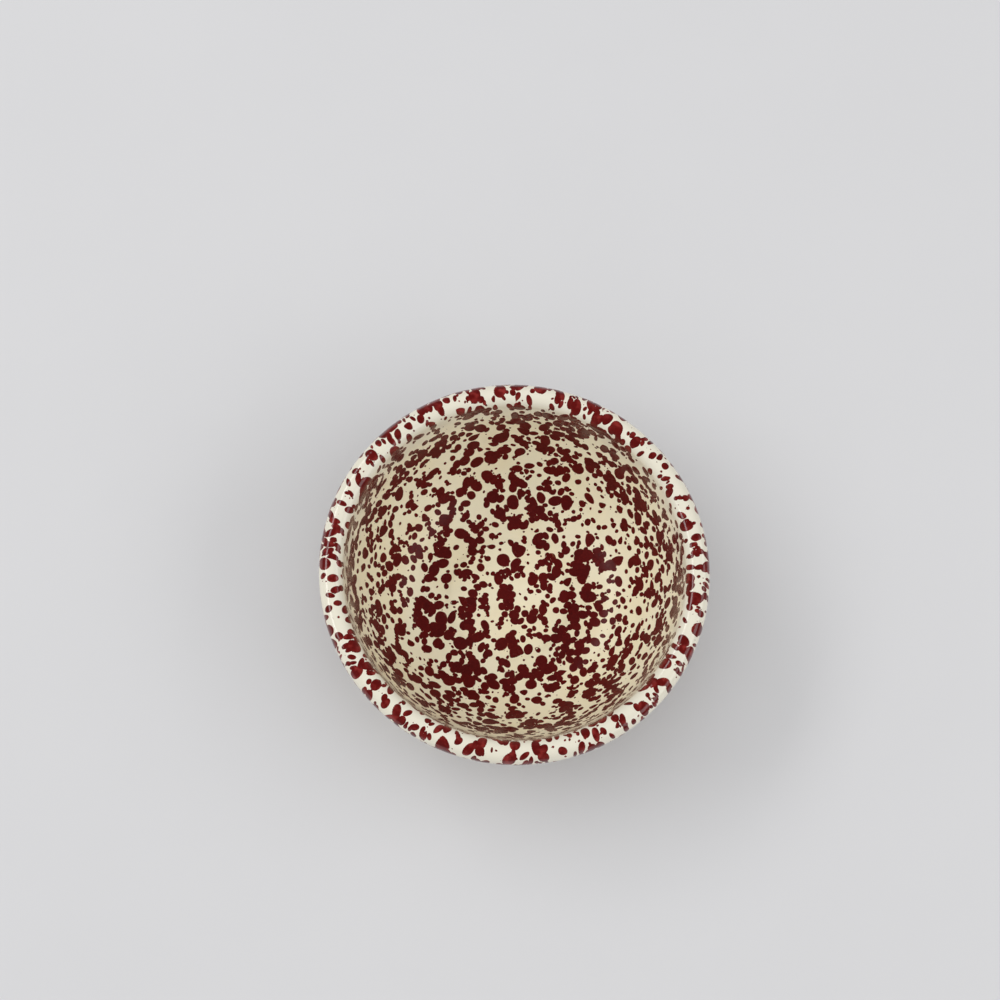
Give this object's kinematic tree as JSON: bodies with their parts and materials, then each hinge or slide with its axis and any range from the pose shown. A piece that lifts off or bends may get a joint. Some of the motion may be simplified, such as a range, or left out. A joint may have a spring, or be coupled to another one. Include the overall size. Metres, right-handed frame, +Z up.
{
  "type": "enamel bowl",
  "caption": "Round deep bowl of pressed steel with a half-round rolled rim, fused glass enamel on every face and a splattered finish, for holding cereal, soup or fruit.",
  "frame": {"origin": "middle of the flat ring that the bowl rests on, on its axis", "axes": "+Z up along the bowl's axis; the bowl is round, so X and Y are any two level directions"},
  "size_m": [0.16, 0.16, 0.055],
  "materials": {
    "steel": "pressed low-carbon sheet, fully covered by enamel",
    "ground_enamel": "dark fused adherence coat, hidden under the cover coat",
    "cream_enamel": "glossy cream fused enamel",
    "splatter_enamel": "glossy burgundy drops fused into the cream enamel, on the visual model only"
  },
  "bodies": {
    "root": {"steel_body": "steel", "inside_ground_coat": "ground_enamel", "outside_ground_coat": "ground_enamel", "inside_cover_coat": "cream_enamel", "outside_cover_coat": "cream_enamel"}
  },
  "joints": []
}
